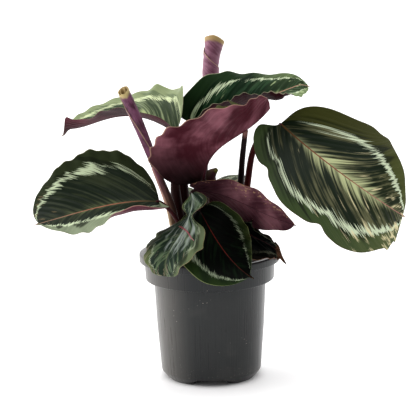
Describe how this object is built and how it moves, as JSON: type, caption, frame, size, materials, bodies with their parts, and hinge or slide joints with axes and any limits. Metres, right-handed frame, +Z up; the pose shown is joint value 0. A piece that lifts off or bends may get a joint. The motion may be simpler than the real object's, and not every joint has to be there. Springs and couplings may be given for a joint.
{
  "type": "potted calathea",
  "caption": "Patterned, maroon-backed leaves on long stems in a round dark plastic nursery pot with a hooked rim, collar, notched foot and potting soil",
  "frame": {"origin": "centre of the pot's underside, on the surface that the pot stands on", "axes": "+Z up along the pot's axis; -Y towards the front of the plant; +X to the right, where the largest leaf reaches out"},
  "size_m": [0.3108, 0.1697, 0.2854],
  "materials": {
    "pot_plastic": "moulded dark grey polypropylene, slightly satin, dusty",
    "soil": "damp dark potting soil with pale grit; cardboard stands in for it because of its low weight",
    "crown": "rough brown rootstock",
    "leaf": null,
    "petiole": null,
    "dark_stem": "smooth near-black maroon stem",
    "rolled_leaf": "satin mauve rolled leaf",
    "bud": "satin maroon sheath with an olive tip"
  },
  "bodies": {
    "root": {"pot": "pot_plastic", "soil": "soil", "crown": "crown", "blade_right": "leaf", "blade_left": "leaf", "blade_back_left": "leaf", "blade_top": "leaf", "blade_centre": "leaf", "blade_front": "leaf", "blade_low_right": "leaf", "blade_front_left": "leaf", "blade_rim_right": "leaf", "blade_back_right": "leaf", "blade_back": "leaf", "petiole_right": "petiole", "petiole_left": "petiole", "petiole_back_left": "petiole", "petiole_top": "petiole", "petiole_centre": "petiole", "petiole_front": "petiole", "petiole_low_right": "petiole", "petiole_front_left": "petiole", "petiole_rim_right": "petiole", "petiole_back_right": "petiole", "petiole_back": "petiole", "stalk_brown": "petiole", "stem_dark": "dark_stem", "petiole_rolled_left": "petiole", "rolled_leaf_left": "rolled_leaf", "petiole_rolled_tall": "petiole", "rolled_leaf_tall": "rolled_leaf", "bud": "bud"}
  },
  "joints": []
}
